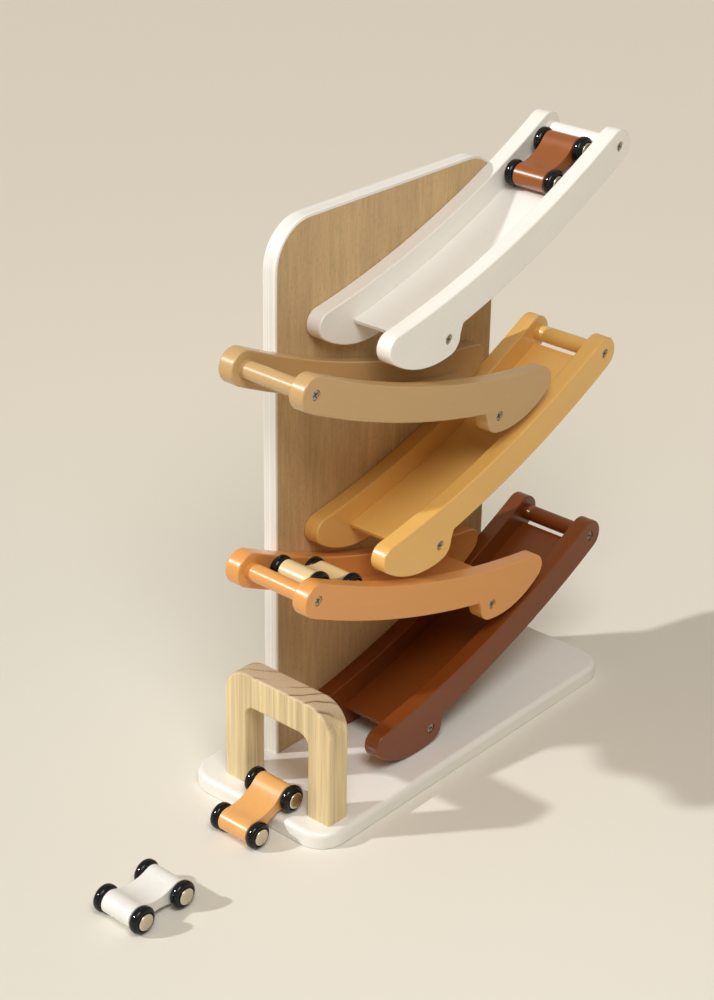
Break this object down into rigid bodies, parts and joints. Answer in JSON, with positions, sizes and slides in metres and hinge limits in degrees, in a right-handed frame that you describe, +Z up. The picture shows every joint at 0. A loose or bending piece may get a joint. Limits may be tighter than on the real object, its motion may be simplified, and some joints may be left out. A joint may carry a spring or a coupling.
{
  "type": "click clack track toy",
  "caption": "Wooden click clack track: curved ramps in zigzag on an upright panel, an arch on the base board, and small cars that roll down.",
  "frame": {"origin": "middle of the base board's underside", "axes": "+Z up, +X along the ramps to the end away from the arch, +Y from the front rails to the panel"},
  "size_m": [0.4729, 0.128, 0.4163],
  "materials": {
    "white_paint": "satin paint on wood",
    "taupe_paint": "satin paint on wood",
    "mustard_paint": "satin paint on wood",
    "orange_paint": "satin paint on wood",
    "brown_paint": "satin paint on wood",
    "brown_car_paint": "gloss paint on wood",
    "beige_car_paint": "gloss paint on wood",
    "orange_car_paint": "gloss paint on wood",
    "white_car_paint": "gloss paint on wood",
    "panel_veneer": "clear matt lacquer on veneer, white edges",
    "pine": "bare sanded pine",
    "nickel": "nickel plated",
    "cap_nickel": "champagne nickel",
    "wheel_black": "gloss black"
  },
  "bodies": {
    "track": {"base_board": "white_paint", "back_panel": "panel_veneer", "finish_arch": "pine", "white_front_rail": "white_paint", "white_rear_rail": "white_paint", "white_floor": "white_paint", "white_top_dowel": "white_paint", "white_lower_dowel": "white_paint", "taupe_front_rail": "taupe_paint", "taupe_rear_rail": "taupe_paint", "taupe_floor": "taupe_paint", "taupe_top_dowel": "taupe_paint", "taupe_lower_dowel": "taupe_paint", "mustard_front_rail": "mustard_paint", "mustard_rear_rail": "mustard_paint", "mustard_floor": "mustard_paint", "mustard_top_dowel": "mustard_paint", "mustard_lower_dowel": "mustard_paint", "orange_front_rail": "orange_paint", "orange_rear_rail": "orange_paint", "orange_floor": "orange_paint", "orange_top_dowel": "orange_paint", "orange_lower_dowel": "orange_paint", "brown_front_rail": "brown_paint", "brown_rear_rail": "brown_paint", "brown_floor": "brown_paint", "brown_top_dowel": "brown_paint", "brown_lower_dowel": "brown_paint", "rail_screws": "nickel", "long_panel_screws": "nickel", "short_panel_screws": "nickel", "base_screws": "nickel"},
    "brown_car": {"brown_car_body": "brown_car_paint"},
    "brown_car_front_wheelset": {"brown_car_front_axle": "nickel", "brown_car_front_wheels": "wheel_black", "brown_car_front_caps": "cap_nickel"},
    "brown_car_rear_wheelset": {"brown_car_rear_axle": "nickel", "brown_car_rear_wheels": "wheel_black", "brown_car_rear_caps": "cap_nickel"},
    "beige_car": {"beige_car_body": "beige_car_paint"},
    "beige_car_front_wheelset": {"beige_car_front_axle": "nickel", "beige_car_front_wheels": "wheel_black", "beige_car_front_caps": "cap_nickel"},
    "beige_car_rear_wheelset": {"beige_car_rear_axle": "nickel", "beige_car_rear_wheels": "wheel_black", "beige_car_rear_caps": "cap_nickel"},
    "orange_car": {"orange_car_body": "orange_car_paint"},
    "orange_car_front_wheelset": {"orange_car_front_axle": "nickel", "orange_car_front_wheels": "wheel_black", "orange_car_front_caps": "cap_nickel"},
    "orange_car_rear_wheelset": {"orange_car_rear_axle": "nickel", "orange_car_rear_wheels": "wheel_black", "orange_car_rear_caps": "cap_nickel"},
    "white_car": {"white_car_body": "white_car_paint"},
    "white_car_front_wheelset": {"white_car_front_axle": "nickel", "white_car_front_wheels": "wheel_black", "white_car_front_caps": "cap_nickel"},
    "white_car_rear_wheelset": {"white_car_rear_axle": "nickel", "white_car_rear_wheels": "wheel_black", "white_car_rear_caps": "cap_nickel"}
  },
  "joints": [
    {"name": "brown_car_run", "type": "hinge", "parent": "track", "child": "brown_car", "pos_m": [-0.19545, -0.0065, 1.03594], "axis": [0, 1, 0], "range_deg": [0, 12.9]},
    {"name": "beige_car_run", "type": "hinge", "parent": "track", "child": "beige_car", "pos_m": [0.18528, -0.0065, 0.82465], "axis": [0, -1, 0], "range_deg": [0, 12.5]},
    {"name": "orange_car_roll", "type": "slide", "parent": "track", "child": "orange_car", "axis": [-1, 0, 0], "range_m": [0, 0.006]},
    {"name": "white_car_roll", "type": "slide", "parent": "track", "child": "white_car", "axis": [-1, 0, 0], "range_m": [-0.04, 0.08]},
    {"name": "brown_car_front_spin", "type": "hinge", "parent": "brown_car", "child": "brown_car_front_wheelset", "pos_m": [0.11284, -0.0065, 0.38561], "axis": [0, 1, 0], "continuous": true},
    {"name": "brown_car_rear_spin", "type": "hinge", "parent": "brown_car", "child": "brown_car_rear_wheelset", "pos_m": [0.14409, -0.0065, 0.40137], "axis": [0, 1, 0], "continuous": true},
    {"name": "beige_car_front_spin", "type": "hinge", "parent": "beige_car", "child": "beige_car_front_wheelset", "pos_m": [-0.08729, -0.0065, 0.15856], "axis": [0, -1, 0], "continuous": true},
    {"name": "beige_car_rear_spin", "type": "hinge", "parent": "beige_car", "child": "beige_car_rear_wheelset", "pos_m": [-0.11935, -0.0065, 0.1726], "axis": [0, -1, 0], "continuous": true},
    {"name": "orange_car_front_spin", "type": "hinge", "parent": "orange_car", "child": "orange_car_front_wheelset", "pos_m": [-0.17888, -0.008, 0.0095], "axis": [0, 1, 0], "continuous": true},
    {"name": "orange_car_rear_spin", "type": "hinge", "parent": "orange_car", "child": "orange_car_rear_wheelset", "pos_m": [-0.14612, -0.008, 0.0218], "axis": [0, 1, 0], "continuous": true},
    {"name": "white_car_front_spin", "type": "hinge", "parent": "white_car", "child": "white_car_front_wheelset", "pos_m": [-0.291, -0.0165, 0.0095], "axis": [0, 1, 0], "continuous": true},
    {"name": "white_car_rear_spin", "type": "hinge", "parent": "white_car", "child": "white_car_rear_wheelset", "pos_m": [-0.256, -0.0165, 0.0095], "axis": [0, 1, 0], "continuous": true}
  ],
  "couplings": [
    {"joint": "brown_car_front_spin", "follows": "brown_car_run", "ratio": -76.79},
    {"joint": "brown_car_rear_spin", "follows": "brown_car_run", "ratio": -76.79},
    {"joint": "beige_car_front_spin", "follows": "beige_car_run", "ratio": -76.79},
    {"joint": "beige_car_rear_spin", "follows": "beige_car_run", "ratio": -76.79},
    {"joint": "orange_car_front_spin", "follows": "orange_car_roll", "rad_per_m": -105.26},
    {"joint": "orange_car_rear_spin", "follows": "orange_car_roll", "rad_per_m": -105.26},
    {"joint": "white_car_front_spin", "follows": "white_car_roll", "rad_per_m": -105.26},
    {"joint": "white_car_rear_spin", "follows": "white_car_roll", "rad_per_m": -105.26}
  ]
}
